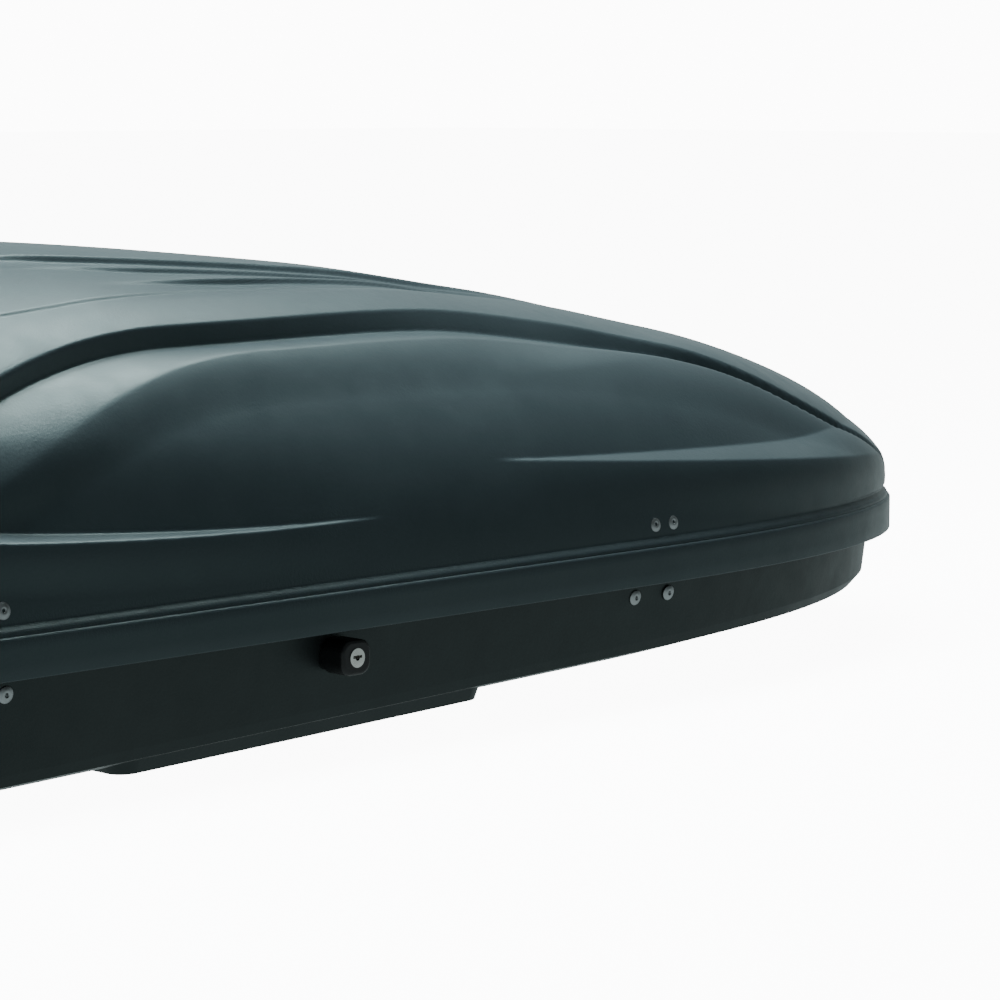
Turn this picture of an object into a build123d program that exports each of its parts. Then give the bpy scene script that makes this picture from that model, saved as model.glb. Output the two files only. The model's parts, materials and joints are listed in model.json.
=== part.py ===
"""Hard-shell roof cargo box: a deep lid hinged on one side of a shallow base tray.

X runs from tail to nose, Y from the lock side to the hinge side and Z up. The origin is the centre
of the U-bolt slot pattern, in the plane of the load plates' upper faces. The underside slopes up
towards the nose, so the closed box sits slightly nose-down on level bars. Millimetres throughout.
"""
import os
from math import cos, radians, sin

from build123d import *

os.makedirs("parts", exist_ok=True)

# Lid: the overhanging rim and the crowned dome above it
RIM_HALF, RIM_NOSE, RIM_TAIL = 390, 1040, 960
RIM_LOW, RIM_TOP = 92, 138
RIM_STEP, END_STEP = 10, 7
DOME_RISE, DOME_FLAT = 303, 0.985
DOME_PEAK_X, DOME_STEP = -183, 10
NOSE_BEND, NOSE_POWER, TAIL_BEND, TAIL_POWER = 1.22, 0.405, 4, 0.45
SECTION_POWER, SIDE_LEAN = 2.13, 0.098
LID_WALL = 3

# Plan outline: straight sides between two rounded ends
NOSE_CURVE_X, TAIL_CURVE_X = 334, -540
PLAN_POWER = 2.64

# Base tray, its underside rising towards nose and tail
BASE_HALF, BASE_TOP = 361, 114
BASE_INSET = 14
CHINE_HALF, CHINE_RISE = 349, 20
TRAY_SECTIONS = ((0, 317, 152, 116), (10, 347, 22, 46), (CHINE_RISE, CHINE_HALF, 3, 20))
FLOOR_LOW, FLOOR_SLOPE = -5.5, 0.03
TAIL_BREAK_X, TAIL_SLOPE = -520, 0.08
BASE_WALL = 3.5

# Shallow bulges of the underside, as (centre x, length, width)
BULGES = ((-15, 466, 664), (642, 86, 536))
BULGE_ROOT, BULGE_DROP, BULGE_TAPER, BULGE_CORNER = 7, 8.5, 20, 24

# Crossbar pads and their slots
PAD_X, PAD_Y, PAD_LENGTH, PAD_WIDTH, PAD_PROUD = 421, 230, 160, 90, 1.5
SLOT_PITCH, SLOT_LENGTH, SLOT_WIDTH, SLOT_DEPTH = 90, 60, 9, 60
PLATE_LENGTH, PLATE_WIDTH, PLATE_THICK = 164, 66, 2

# Hinges on the +Y side
HINGE_Y, HINGE_Z = 374, 100
HINGE_STATIONS = (-421, 0, 421)
KNUCKLE_R, HINGE_PIN_R, LEAF = 6, 2.5, 2.5
EAR_IN, EAR_OUT = 10, 30

# Lid stays, pivoted at equal distances from the hinge axis
STAY_STATIONS = {"front": 550, "rear": -590}
STAY_R, STAY_LOW, STAY_HIGH = 130, 30, 65
STAY_PIN_R, LUG_OFFSET, LUG_THICK = 4, 5, 6

# Central lock, sliding latch rod and its two catches
LOCK_X, LOCK_Z, LOCK_FACE_Y = -13, 66, -389
KNOB_BACK_Y, KNOB_WIDE, KNOB_HIGH, KNOB_CORNER = -362, 36, 33, 12
CAM_R, CAM_TURN = 15, 90
SHAFT_R, CYLINDER_R = 6, 9
ROD_Y, ROD_THICK, ROD_LOW, ROD_HIGH = -329, 4, 74, 88
CATCH_STATIONS = {"front": 421, "rear": -421}
STRIKER_Z, STRIKER_R, STRIKER_LEG_Y = 98, 3, -339
LID_RIVET_Z, LID_RIVET_PITCH = 151, 27
BASE_RIVET_Z, BASE_RIVET_PITCH, BASE_RIVET_SHIFT = 75, 50, 6
RIVET_HEAD_R, RIVET_R = 8, 2.4
LID_GRIP, BASE_GRIP, HINGE_BASE_GRIP, HINGE_LID_GRIP = 7.4, 18, 8.6, 7.5
RUN = 0.05

# Smaller pieces
STIFFENER_X, STIFFENER_WIDE, STIFFENER_GAP, STIFFENER_DEEP, STIFFENER_FOOT = 300, 40, 0.4, 9, 55
BACKPLATE_Y, LOCK_HOLE_R = -341, 14
HOUSING_LOW, HOUSING_HIGH, GUIDE_HIGH, HOUSING_GAP = 58, 96, 92, 3.2
HOUSING_BACK, HOUSING_FRONT, HOUSING_Y = 68, 48, (-343.5, -313)
STRIKER_WIDE, PIN_REACH = 44, 24
EYE_R, EYE_THICK, STAY_SLOT, BRACKET_GAP = 9, 5, 5.6, 4.6
LEAF_GAP = 1.8
TUBE_R, TUBE_BORE_R, ROD_R, TUBE_START, TUBE_END, PISTON_START = 9, 7, 4, 14, 135, 24
CYLINDER_DEEP, SHAFT_END_Y, CAM_THICK, SCREW_R = 20, -340, 4, 2.5
KEY_SLOT, KEY_DEEP = (11, 2.6), 14
ROD_ENDS = (-480, 466)


def save(piece, name):
    """Label a finished piece and write its STEP file."""
    piece.label = name
    export_step(piece, f"parts/{name}.step")


def plan_half(x, half, nose, tail):
    """Half-width of the plan outline at x."""
    reach = max((x - NOSE_CURVE_X) / (nose - NOSE_CURVE_X), (TAIL_CURVE_X - x) / (tail + TAIL_CURVE_X), 0)
    return half * max(1 - reach**PLAN_POWER, 0) ** (1 / PLAN_POWER)


def crown(x, rise, nose, tail):
    """Height of the dome above its foot along the centre line."""
    if x > DOME_PEAK_X:
        return rise * max(1 - ((x - DOME_PEAK_X) / (nose - DOME_PEAK_X)) ** NOSE_BEND, 0) ** NOSE_POWER
    return rise * max(1 - ((DOME_PEAK_X - x) / (tail + DOME_PEAK_X)) ** TAIL_BEND, 0) ** TAIL_POWER


def dome_reach(level, rise, nose, tail):
    """X of the dome's nose and tail ends at a level above its foot."""
    front = (1 - (level / rise) ** (1 / NOSE_POWER)) ** (1 / NOSE_BEND)
    back = (1 - (level / rise) ** (1 / TAIL_POWER)) ** (1 / TAIL_BEND)
    return DOME_PEAK_X + front * (nose - DOME_PEAK_X), DOME_PEAK_X - back * (tail + DOME_PEAK_X)


def dome_half(x, level, inset=0):
    """Half-width of the dome at x and a level above its foot, inset by a wall thickness."""
    rise, half = DOME_RISE - inset, RIM_HALF - RIM_STEP - inset
    nose, tail = RIM_NOSE - END_STEP - inset, RIM_TAIL - END_STEP - inset
    ratio = min(max(level, 0) / max(crown(x, rise, nose, tail), 1e-6), 1)
    bulge = (1 - ratio**SECTION_POWER) ** (1 / SECTION_POWER)
    return plan_half(x, half, nose, tail) * bulge * (1 - SIDE_LEAN * level / half)


def dome_end(level, inset, front):
    """Points round one end of the dome, from the -Y side to the +Y side."""
    nose, tail = RIM_NOSE - END_STEP - inset, RIM_TAIL - END_STEP - inset
    tip = dome_reach(max(level, 0), DOME_RISE - inset, nose, tail)[0 if front else 1]
    swing = [radians(15 * i) for i in range(7)]
    side = [(DOME_PEAK_X + (tip - DOME_PEAK_X) * sin(a), a) for a in swing]
    near = [(x, -dome_half(x, level, inset)) for x, a in side[:-1]]
    return near + [(tip, 0)] + [(x, -y) for x, y in reversed(near)]


def dome(inset, foot, mode):
    """Loft the dome, shrunk by inset, from a foot height to its flat crown."""
    top = DOME_FLAT * DOME_RISE - inset
    sections = []
    for step in range(90 // DOME_STEP + 1):
        level = top * sin(radians(DOME_STEP * step))
        with BuildSketch(Plane.XY.offset(RIM_TOP + level if step else foot)) as section:
            with BuildLine():
                Spline(*dome_end(level, inset, True), tangents=((1, 0), (-1, 0)))
                Spline(*dome_end(level, inset, False), tangents=((-1, 0), (1, 0)))
            make_face()
        sections.append(section.sketch.face())
    loft(sections, ruled=True, mode=mode)


def plan_face(plane, half, nose, tail):
    """Sketch the plan outline with straight sides and rounded ends."""
    def end_points(start, tip):
        xs = [start + (tip - start) * sin(radians(15 * i)) for i in range(1, 6)]
        near = [(x, -plan_half(x, half, nose, tail)) for x in xs]
        return near + [(tip, 0)] + [(x, -y) for x, y in reversed(near)]

    with BuildSketch(plane) as face:
        with BuildLine():
            Line((TAIL_CURVE_X, -half), (NOSE_CURVE_X, -half))
            Spline((NOSE_CURVE_X, -half), *end_points(NOSE_CURVE_X, nose), (NOSE_CURVE_X, half),
                   tangents=((1, 0), (-1, 0)))
            Line((NOSE_CURVE_X, half), (TAIL_CURVE_X, half))
            Spline((TAIL_CURVE_X, half), *[(x, -y) for x, y in end_points(TAIL_CURVE_X, -tail)],
                   (TAIL_CURVE_X, -half), tangents=((-1, 0), (1, 0)))
        make_face()
    return face.sketch.face()


def floor_z(x):
    """Height of the tray's underside."""
    return FLOOR_LOW + max(FLOOR_SLOPE * x, FLOOR_SLOPE * TAIL_BREAK_X + TAIL_SLOPE * (TAIL_BREAK_X - x))


def base_half(x, z):
    """Half-width of the tray's outer wall at x and z, on the straight sides."""
    chine_z = FLOOR_LOW + CHINE_RISE + FLOOR_SLOPE * x
    return BASE_HALF - (BASE_HALF - CHINE_HALF) * (BASE_TOP - z) / (BASE_TOP - chine_z)


def tilted(z):
    """Plane parallel to the sloping underside, z above it, centred on the origin's normal."""
    level = Plane(origin=(0, 0, 0), x_dir=(1, 0, FLOOR_SLOPE), z_dir=(-FLOOR_SLOPE, 0, 1))
    return level.offset(FLOOR_LOW + z)


def tray(wall, mode):
    """Loft the tray, shrunk by a wall thickness, with the bulges of its underside."""
    nose, tail = RIM_NOSE - BASE_INSET - wall, RIM_TAIL - BASE_INSET - wall
    sections = [plan_face(tilted(rise + wall), half - wall, nose - front, tail - back)
                for rise, half, front, back in TRAY_SECTIONS]
    sections.append(plan_face(Plane.XY.offset(BASE_TOP), BASE_HALF - wall, nose, tail))
    loft(sections, ruled=True, mode=mode)
    for centre, length, width in BULGES:
        with BuildSketch(tilted(BULGE_ROOT + wall)) as bulge:
            with Locations((centre, 0)):
                RectangleRounded(length - 2 * wall, width - 2 * wall, BULGE_CORNER - wall)
        extrude(bulge.sketch, amount=-BULGE_ROOT - BULGE_DROP, taper=BULGE_TAPER, mode=mode)
    split(bisect_by=Plane(origin=(TAIL_BREAK_X, 0, floor_z(TAIL_BREAK_X) + wall), z_dir=(TAIL_SLOPE, 0, 1)),
          keep=Keep.TOP)


def cut_slots():
    """Cut all eight U-bolt slots straight down, two in line at each pad."""
    with BuildSketch(Plane.XY.offset(-SLOT_DEPTH / 2)) as slots:
        with GridLocations(2 * PAD_X, 2 * PAD_Y, 2, 2):
            with GridLocations(SLOT_PITCH, 0, 2, 1):
                SlotOverall(SLOT_LENGTH, SLOT_WIDTH)
    extrude(slots.sketch, amount=SLOT_DEPTH, mode=Mode.SUBTRACT)


def wall_plane(x, z, side, lid):
    """Plane on the outer wall of lid or tray, facing out, on the -Y (-1) or +Y (1) side."""
    if lid:
        first = DOME_FLAT * DOME_RISE * sin(radians(DOME_STEP))
        lean = (dome_half(x, 0) - dome_half(x, first)) / (first + 1)
        half = dome_half(x, 0) - lean * (z + 1 - RIM_TOP) + 0.4
    else:
        lean = base_half(x, z) - base_half(x, z + 1)
        half = base_half(x, z)
    return Plane(origin=(x, side * half, z), x_dir=(1, 0, 0), z_dir=(0, side, lean))


def rivet_grip(plane, y):
    """Shank length that carries a rivet's tail just past a flat inner face at y."""
    return (abs(plane.origin.Y) - abs(y)) / abs(plane.z_dir.Y) + 0.8


def rivet(plane, grip):
    """Blind rivet with a domed head on a plane and its shank through the grip behind it."""
    with BuildSketch(plane) as head:
        Circle(RIVET_HEAD_R)
    extrude(head.sketch, amount=2.6, taper=28)
    with BuildSketch(plane) as shank:
        Circle(RIVET_R)
    extrude(shank.sketch, amount=-grip)
    with BuildSketch(plane.offset(-grip)) as bulb:
        Circle(RIVET_R + 1.6)
    extrude(bulb.sketch, amount=-1.4)


def rivet_hole(plane, grip):
    """Clearance hole for a rivet shank."""
    with BuildSketch(plane.offset(3)) as hole:
        Circle(RIVET_R)
    extrude(hole.sketch, amount=-grip - 3, mode=Mode.SUBTRACT)


lid_rivet_planes = {name: [wall_plane(x + dx * LID_RIVET_PITCH / 2, LID_RIVET_Z, -1, True) for dx in (-1, 1)]
                    for name, x in CATCH_STATIONS.items()}
base_rivet_planes = {name: [wall_plane(x + BASE_RIVET_SHIFT + dx * BASE_RIVET_PITCH / 2, BASE_RIVET_Z, -1, False)
                            for dx in (-1, 1)]
                     for name, x in CATCH_STATIONS.items()}
hinge_base_planes = [wall_plane(x + dx * 20, 88, 1, False) for x in HINGE_STATIONS for dx in (-1, 1)]
hinge_lid_planes = [Plane(origin=(x + dx * 18, RIM_HALF, 122), x_dir=(1, 0, 0), z_dir=(0, 1, 0))
                    for x in HINGE_STATIONS for dx in (-1, 1)]

# Lid shell
with BuildPart() as lid_shell:
    extrude(plan_face(Plane.XY.offset(RIM_LOW), RIM_HALF, RIM_NOSE, RIM_TAIL), amount=RIM_TOP - RIM_LOW)
    dome(0, RIM_TOP - 1, Mode.ADD)
    rim_inside = plan_face(Plane.XY.offset(RIM_LOW), RIM_HALF - LID_WALL, RIM_NOSE - LID_WALL,
                           RIM_TAIL - LID_WALL)
    extrude(rim_inside, amount=RIM_TOP - RIM_LOW - LID_WALL, mode=Mode.SUBTRACT)
    dome(LID_WALL, RIM_TOP - LID_WALL, Mode.SUBTRACT)
    for name in CATCH_STATIONS:
        for plane in lid_rivet_planes[name]:
            rivet_hole(plane, LID_GRIP)
    for plane in hinge_lid_planes:
        rivet_hole(plane, HINGE_LID_GRIP)
save(lid_shell.part, "lid_shell")

# Lid stiffeners: two hoops bonded under the dome
with BuildPart() as dome_ring:
    dome(LID_WALL + STIFFENER_GAP, RIM_TOP, Mode.ADD)
    dome(LID_WALL + STIFFENER_DEEP, RIM_TOP - 1, Mode.SUBTRACT)
for name, x in (("front", STIFFENER_X), ("rear", -STIFFENER_X)):
    with BuildPart() as stiffener:
        add(dome_ring.part)
        with Locations((x, 0, RIM_TOP + STIFFENER_FOOT)):
            Box(STIFFENER_WIDE, RIM_HALF * 2, DOME_RISE, mode=Mode.INTERSECT,
                align=(Align.CENTER, Align.CENTER, Align.MIN))
    save(stiffener.part, f"lid_stiffener_{name}")

# Base tray
with BuildPart() as tray_space:
    tray(BASE_WALL, Mode.ADD)
with BuildPart() as base_shell:
    tray(0, Mode.ADD)
    add(tray_space.part, mode=Mode.SUBTRACT)
    with BuildSketch(tilted(-PAD_PROUD)):
        with GridLocations(2 * PAD_X, 2 * PAD_Y, 2, 2):
            RectangleRounded(PAD_LENGTH, PAD_WIDTH, 14)
    extrude(amount=PAD_PROUD + 1)
    cut_slots()
    with BuildSketch(Plane(origin=(LOCK_X, BACKPLATE_Y, LOCK_Z), x_dir=(1, 0, 0), z_dir=(0, -1, 0))):
        Circle(LOCK_HOLE_R)
    extrude(amount=30, mode=Mode.SUBTRACT)
    for name in CATCH_STATIONS:
        for plane in base_rivet_planes[name]:
            rivet_hole(plane, BASE_GRIP)
    for plane in hinge_base_planes:
        rivet_hole(plane, HINGE_BASE_GRIP)
save(base_shell.part, "base_shell")

# Load plates that spread the U-bolts' pull over the pads
for along, x in (("front", PAD_X), ("rear", -PAD_X)):
    for across, y in (("near", -PAD_Y), ("far", PAD_Y)):
        with BuildPart() as load_plate:
            with BuildSketch(tilted(BASE_WALL)):
                with Locations((x, y)):
                    RectangleRounded(PLATE_LENGTH, PLATE_WIDTH, 8)
            extrude(amount=PLATE_THICK)
            cut_slots()
        save(load_plate.part, f"load_plate_{along}_{across}")

# Catch housings, rod guides and the rivets that hold them to the tray wall
for name, x in CATCH_STATIONS.items():
    with BuildPart() as housing:
        low, high = (-(base_half(x, z) - BASE_WALL - HOUSING_GAP) for z in (HOUSING_LOW, HOUSING_HIGH))
        with BuildSketch(Plane.YZ.offset(x - HOUSING_BACK)):
            with BuildLine():
                Polyline((low, HOUSING_LOW), (high, HOUSING_HIGH), (HOUSING_Y[0], HOUSING_HIGH),
                         (HOUSING_Y[0], HOUSING_LOW + 3), (HOUSING_Y[1], HOUSING_LOW + 3),
                         (HOUSING_Y[1], GUIDE_HIGH), (HOUSING_Y[1] + 3, GUIDE_HIGH),
                         (HOUSING_Y[1] + 3, HOUSING_LOW), close=True)
            make_face()
        extrude(amount=HOUSING_BACK + HOUSING_FRONT)
        for plane in base_rivet_planes[name]:
            rivet_hole(plane, BASE_GRIP)
    save(housing.part, f"catch_housing_{name}")

with BuildPart() as rod_guides:
    for x in CATCH_STATIONS.values():
        for side in (x - HOUSING_BACK + 8, x + HOUSING_FRONT - 8):
            with BuildSketch(Plane.YZ.offset(side - 4)):
                with Locations(((HOUSING_Y[0] + HOUSING_Y[1]) / 2, (HOUSING_LOW + 3 + GUIDE_HIGH) / 2)):
                    Rectangle(HOUSING_Y[1] - HOUSING_Y[0], GUIDE_HIGH - HOUSING_LOW - 3)
                with Locations((ROD_Y, (ROD_LOW + ROD_HIGH) / 2)):
                    Rectangle(ROD_THICK + 0.6, ROD_HIGH - ROD_LOW + 0.6, mode=Mode.SUBTRACT)
            extrude(amount=8)
save(rod_guides.part, "rod_guides")

with BuildPart() as base_rivets:
    for name in CATCH_STATIONS:
        for plane in base_rivet_planes[name]:
            rivet(plane, rivet_grip(plane, HOUSING_Y[0]))
save(base_rivets.part, "base_rivets")

with BuildPart() as lid_rivets:
    for name in CATCH_STATIONS:
        for plane in lid_rivet_planes[name]:
            rivet(plane, LID_GRIP)
save(lid_rivets.part, "lid_rivets")

# Strikers hang from the lid wall, reach over the tray's edge and carry the pins
for name, x in CATCH_STATIONS.items():
    with BuildPart() as striker:
        wall = lid_rivet_planes[name][0]
        inner = wall.origin - wall.z_dir * (LID_WALL + 2.9)
        upper, lower = inner + wall.y_dir * 18, inner - wall.y_dir * 7
        with BuildSketch(Plane.YZ.offset(x - STRIKER_WIDE / 2)):
            with BuildLine():
                Polyline((upper.Y, upper.Z), (lower.Y, lower.Z), (STRIKER_LEG_Y, lower.Z),
                         (STRIKER_LEG_Y, STRIKER_Z - 9))
            trace(line_width=LEAF)
        extrude(amount=STRIKER_WIDE)
        for plane in lid_rivet_planes[name]:
            rivet_hole(plane, LID_GRIP + 4)
        with BuildSketch(Plane(origin=(x, STRIKER_LEG_Y - 5, STRIKER_Z), x_dir=(1, 0, 0), z_dir=(0, 1, 0))):
            Circle(STRIKER_R)
        extrude(amount=10, mode=Mode.SUBTRACT)
    save(striker.part, f"striker_{name}")

with BuildPart() as striker_pins:
    for x in CATCH_STATIONS.values():
        head = Plane(origin=(x, STRIKER_LEG_Y - LEAF / 2 - 1.5, STRIKER_Z), x_dir=(1, 0, 0), z_dir=(0, 1, 0))
        with BuildSketch(head):
            Circle(STRIKER_R + 2)
        extrude(amount=1.5)
        with BuildSketch(head):
            Circle(STRIKER_R)
        extrude(amount=PIN_REACH)
save(striker_pins.part, "striker_pins")

# Hinges: goose-neck leaves over the tray's edge, lid leaves on the rim, and pins
with BuildPart() as hinge_base_leaves:
    for x in HINGE_STATIONS:
        wall = wall_plane(x, 88, 1, False)
        inner = wall.origin - wall.z_dir * (BASE_WALL + 3.2)
        lower, upper = inner + wall.y_dir * 16, inner - wall.y_dir * 24
        for side in (-1, 1):
            middle = x + side * (EAR_IN + EAR_OUT) / 2
            with BuildSketch(Plane.YZ.offset(middle - (EAR_OUT - EAR_IN) / 2)):
                with BuildLine():
                    Polyline((lower.Y, lower.Z), (upper.Y, upper.Z), (upper.Y, BASE_TOP + 5),
                             (HINGE_Y - 4.5, BASE_TOP + 5), (HINGE_Y - 4.5, HINGE_Z))
                trace(line_width=LEAF)
                with Locations((HINGE_Y, HINGE_Z)):
                    Circle(KNUCKLE_R)
                    Circle(HINGE_PIN_R, mode=Mode.SUBTRACT)
            extrude(amount=EAR_OUT - EAR_IN)
        with BuildSketch(Plane.YZ.offset(x - EAR_IN)):
            with BuildLine():
                Line((lower.Y, lower.Z), (upper.Y, upper.Z))
            trace(line_width=LEAF)
        extrude(amount=2 * EAR_IN)
    for plane in hinge_base_planes:
        rivet_hole(plane, HINGE_BASE_GRIP + 4)
save(hinge_base_leaves.part, "hinge_base_leaves")

with BuildPart() as hinge_lid_leaves:
    for x in HINGE_STATIONS:
        with BuildSketch(Plane.YZ.offset(x - EAR_IN + 0.3)):
            with Locations((HINGE_Y, HINGE_Z)):
                Circle(KNUCKLE_R)
            with Locations((HINGE_Y + 3, HINGE_Z)):
                Rectangle(RIM_HALF - LID_WALL - LEAF_GAP - HINGE_Y - 4, 5, align=(Align.MIN, Align.CENTER))
            with Locations((HINGE_Y, HINGE_Z)):
                Circle(HINGE_PIN_R + RUN, mode=Mode.SUBTRACT)
        extrude(amount=2 * EAR_IN - 0.6)
        with Locations((x, RIM_HALF - LID_WALL - LEAF_GAP - LEAF / 2, 114)):
            Box(2 * EAR_OUT, LEAF, 38)
    for plane in hinge_lid_planes:
        rivet_hole(plane, HINGE_LID_GRIP + 4)
save(hinge_lid_leaves.part, "hinge_lid_leaves")

with BuildPart() as hinge_pins:
    for x in HINGE_STATIONS:
        with BuildSketch(Plane.YZ.offset(x - EAR_OUT - 1)):
            with Locations((HINGE_Y, HINGE_Z)):
                Circle(HINGE_PIN_R)
        extrude(amount=2 * EAR_OUT + 2)
save(hinge_pins.part, "hinge_pins")

with BuildPart() as hinge_base_rivets:
    for plane in hinge_base_planes:
        rivet(plane, HINGE_BASE_GRIP)
save(hinge_base_rivets.part, "hinge_base_rivets")

with BuildPart() as hinge_lid_rivets:
    for plane in hinge_lid_planes:
        rivet(plane, HINGE_LID_GRIP)
save(hinge_lid_rivets.part, "hinge_lid_rivets")

# Lid stays: a piston rod in a tube, between a floor bracket and a lid bracket
for name, x in STAY_STATIONS.items():
    foot = Vector(x, HINGE_Y - STAY_R * cos(radians(STAY_LOW)), HINGE_Z - STAY_R * sin(radians(STAY_LOW)))
    head = Vector(x, HINGE_Y - STAY_R * cos(radians(STAY_HIGH)), HINGE_Z + STAY_R * sin(radians(STAY_HIGH)))
    reach = (head - foot).length
    along = Plane(origin=foot, x_dir=(1, 0, 0), z_dir=head - foot)
    flat = Plane(origin=foot - Vector(EYE_THICK / 2, 0, 0), x_dir=(head - foot).normalized(), z_dir=(1, 0, 0))
    floor_top = max(floor_z(x), floor_z(x + 30)) + BASE_WALL + 0.6

    with BuildPart() as floor_bracket:
        with BuildSketch(Plane.YZ.offset(x + LUG_OFFSET)):
            with Locations((foot.Y, foot.Z)):
                Circle(EYE_R)
            with Locations((foot.Y, (foot.Z + floor_top) / 2)):
                Rectangle(2 * EYE_R, foot.Z - floor_top)
        extrude(amount=LUG_THICK)
        with Locations((x + LUG_OFFSET, foot.Y, floor_top)):
            Box(26, 44, 3, align=(Align.MIN, Align.CENTER, Align.MIN))
        with BuildSketch(Plane.YZ.offset(x - LUG_OFFSET)):
            with Locations((foot.Y, foot.Z)):
                Circle(STAY_PIN_R)
        extrude(amount=2 * LUG_OFFSET)
        with BuildSketch(Plane.YZ.offset(x - LUG_OFFSET)):
            with Locations((foot.Y, foot.Z)):
                Circle(STAY_PIN_R + 2)
        extrude(amount=1.5)
    save(floor_bracket.part, f"stay_floor_bracket_{name}")

    with BuildPart() as tube:
        with BuildSketch(flat):
            Circle(EYE_R)
            Rectangle(TUBE_START + 2, TUBE_R, align=(Align.MIN, Align.CENTER))
            Circle(STAY_PIN_R + RUN, mode=Mode.SUBTRACT)
        extrude(amount=EYE_THICK)
        with BuildSketch(along.offset(TUBE_START)):
            Circle(TUBE_R)
        extrude(amount=TUBE_END - TUBE_START)
        with BuildSketch(along.offset(TUBE_START + 6)):
            Circle(TUBE_BORE_R)
        extrude(amount=TUBE_END - TUBE_START - 16, mode=Mode.SUBTRACT)
        with BuildSketch(along.offset(TUBE_END - 12)):
            Circle(ROD_R + RUN)
        extrude(amount=14, mode=Mode.SUBTRACT)
    save(tube.part, f"stay_tube_{name}")

    with BuildPart() as rod:
        with BuildSketch(along.offset(PISTON_START)):
            Circle(TUBE_BORE_R - 0.3)
        extrude(amount=8)
        with BuildSketch(along.offset(PISTON_START)):
            Circle(ROD_R)
        extrude(amount=reach - PISTON_START - EYE_R + 1)
        with BuildSketch(flat):
            with Locations((reach + STAY_SLOT / 2, 0)):
                SlotCenterToCenter(STAY_SLOT, 2 * EYE_R)
                SlotCenterToCenter(STAY_SLOT, 2 * (STAY_PIN_R + RUN), mode=Mode.SUBTRACT)
        extrude(amount=EYE_THICK)
    save(rod.part, f"stay_rod_{name}")

    with BuildPart() as lid_bracket:
        outer_x = x + LUG_OFFSET + 22 if x > 0 else x + LUG_OFFSET
        wall_points = [(dome_half(outer_x, z - RIM_TOP, LID_WALL) - BRACKET_GAP, z)
                       for z in (head.Z - 8, head.Z + 34)]
        with BuildSketch(Plane.YZ.offset(x + LUG_OFFSET)):
            with Locations((head.Y, head.Z)):
                Circle(EYE_R)
            with Locations(*wall_points):
                Circle(LEAF / 2)
            make_hull()
        extrude(amount=LUG_THICK)
        with BuildSketch(Plane.YZ.offset(x + LUG_OFFSET)):
            with BuildLine():
                Line(*wall_points)
            trace(line_width=LEAF)
        extrude(amount=22)
        with BuildSketch(Plane.YZ.offset(x - LUG_OFFSET)):
            with Locations((head.Y, head.Z)):
                Circle(STAY_PIN_R)
        extrude(amount=2 * LUG_OFFSET)
        with BuildSketch(Plane.YZ.offset(x - LUG_OFFSET)):
            with Locations((head.Y, head.Z)):
                Circle(STAY_PIN_R + 2)
        extrude(amount=1.5)
    save(lid_bracket.part, f"stay_lid_bracket_{name}")

# Lock: escutcheon and backplate on the tray wall, turning knob, key cylinder and cam
lock_wall = wall_plane(LOCK_X, LOCK_Z, -1, False)


def lock_plane(y):
    """Plane across the lock's axis at y, facing out."""
    return Plane(origin=(LOCK_X, y, LOCK_Z), x_dir=(1, 0, 0), z_dir=(0, -1, 0))


with BuildPart() as lock_escutcheon:
    with BuildSketch(lock_plane(BACKPLATE_Y)):
        RectangleRounded(KNOB_WIDE - 4, KNOB_HIGH - 4, KNOB_CORNER - 2)
        Circle(SHAFT_R + RUN, mode=Mode.SUBTRACT)
    extrude(amount=BACKPLATE_Y - KNOB_BACK_Y - 0.4)
    split(bisect_by=lock_wall.offset(0.5), keep=Keep.TOP)
save(lock_escutcheon.part, "lock_escutcheon")

with BuildPart() as lock_backplate:
    with BuildSketch(lock_plane(BACKPLATE_Y)):
        RectangleRounded(70, 48, 6)
        Circle(SHAFT_R + RUN, mode=Mode.SUBTRACT)
    extrude(amount=16)
    split(bisect_by=lock_wall.offset(-BASE_WALL - 0.9), keep=Keep.BOTTOM)
save(lock_backplate.part, "lock_backplate")

with BuildPart() as lock_knob:
    with BuildSketch(lock_plane(KNOB_BACK_Y)):
        RectangleRounded(KNOB_WIDE, KNOB_HIGH, KNOB_CORNER)
    extrude(amount=KNOB_BACK_Y - LOCK_FACE_Y)
    fillet(lock_knob.faces().sort_by(Axis.Y)[0].edges(), 3.5)
    with BuildSketch(lock_plane(LOCK_FACE_Y)):
        Circle(CYLINDER_R + RUN)
    extrude(amount=-CYLINDER_DEEP, mode=Mode.SUBTRACT)
    with BuildSketch(lock_plane(KNOB_BACK_Y)):
        Circle(SHAFT_R)
    extrude(amount=KNOB_BACK_Y - SHAFT_END_Y)
save(lock_knob.part, "lock_knob")

with BuildPart() as key_cylinder:
    with BuildSketch(lock_plane(LOCK_FACE_Y + CYLINDER_DEEP - 0.3)):
        Circle(CYLINDER_R)
    extrude(amount=CYLINDER_DEEP + 0.5)
    with BuildSketch(lock_plane(LOCK_FACE_Y - 1)):
        with Locations((0, 1)):
            Rectangle(*KEY_SLOT)
        Circle(KEY_SLOT[1])
    extrude(amount=-KEY_DEEP, mode=Mode.SUBTRACT)
save(key_cylinder.part, "key_cylinder")

arm = (-CAM_R * sin(radians(CAM_TURN / 2)), CAM_R * cos(radians(CAM_TURN / 2)))
with BuildPart() as lock_cam:
    with BuildSketch(lock_plane(SHAFT_END_Y + CAM_THICK)):
        Circle(SHAFT_R + 3)
        with Locations(arm):
            Circle(STRIKER_R + 2)
        make_hull()
        Circle(SCREW_R, mode=Mode.SUBTRACT)
    extrude(amount=CAM_THICK)
    with BuildSketch(lock_plane(ROD_Y + ROD_THICK)):
        with Locations(arm):
            Circle(STRIKER_R)
    extrude(amount=ROD_Y + ROD_THICK - SHAFT_END_Y - CAM_THICK)
save(lock_cam.part, "lock_cam")

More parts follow.
